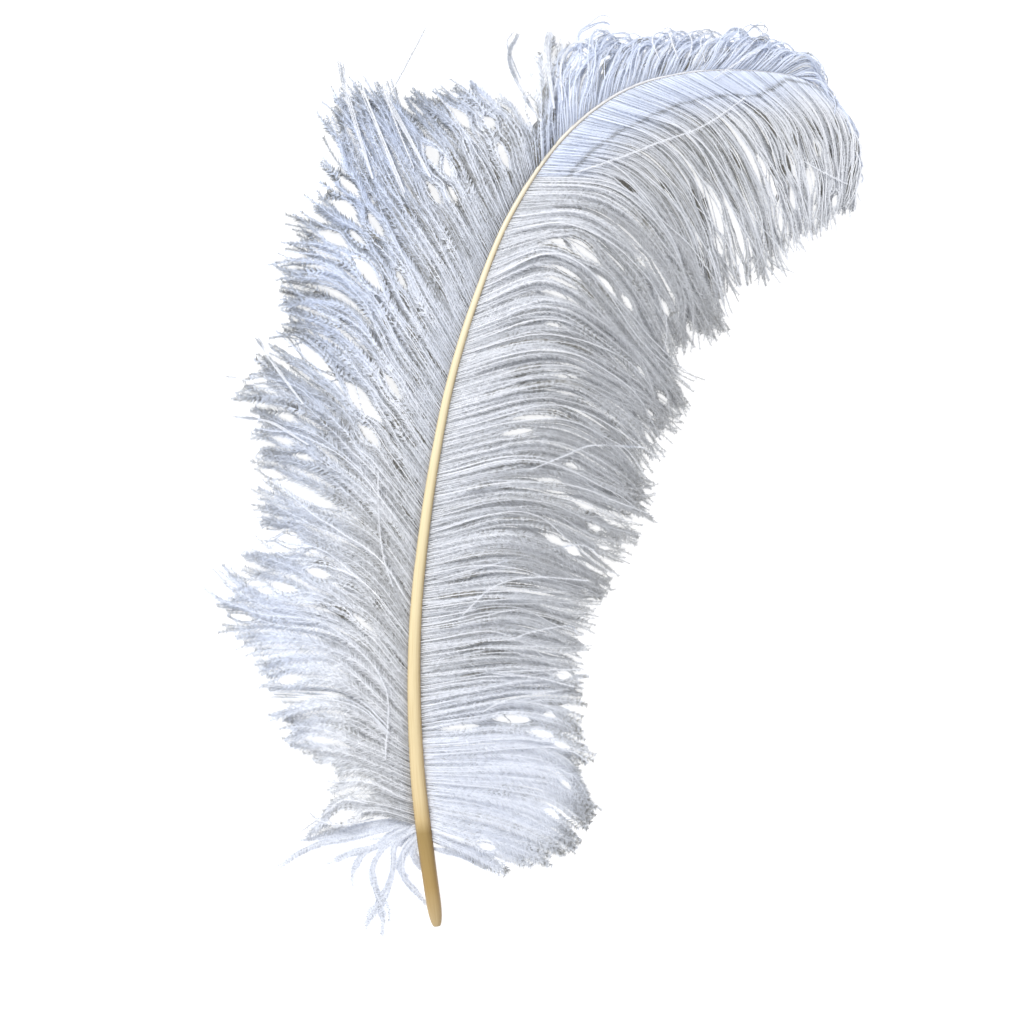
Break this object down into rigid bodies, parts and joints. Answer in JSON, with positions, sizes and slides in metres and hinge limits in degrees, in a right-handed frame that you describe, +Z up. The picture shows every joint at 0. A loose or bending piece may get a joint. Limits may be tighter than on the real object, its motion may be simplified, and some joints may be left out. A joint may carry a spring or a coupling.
{
  "type": "ostrich feather",
  "caption": "Large white ostrich plume lying face up, with a bare horny quill, a cream shaft bent over at its tip, and wide loose vanes in soft locks.",
  "frame": {"origin": "bottom centre of the bounding box, on the surface that the feather lies on", "axes": "+Y from the quill towards the bent-over end, +X towards the side that the tip bends to, +Z up from the surface, out of the feather's face"},
  "size_m": [0.358, 0.5016, 0.0315],
  "materials": {
    "barbs": "soft matt white barbs, each edged with fine hairs, with a faint blue-grey cast",
    "shaft": "smooth horn with a dull shine: brown at the bare quill, cream along the shaft, white at the tip"
  },
  "bodies": {
    "root": {"feather": "barbs"}
  },
  "joints": []
}
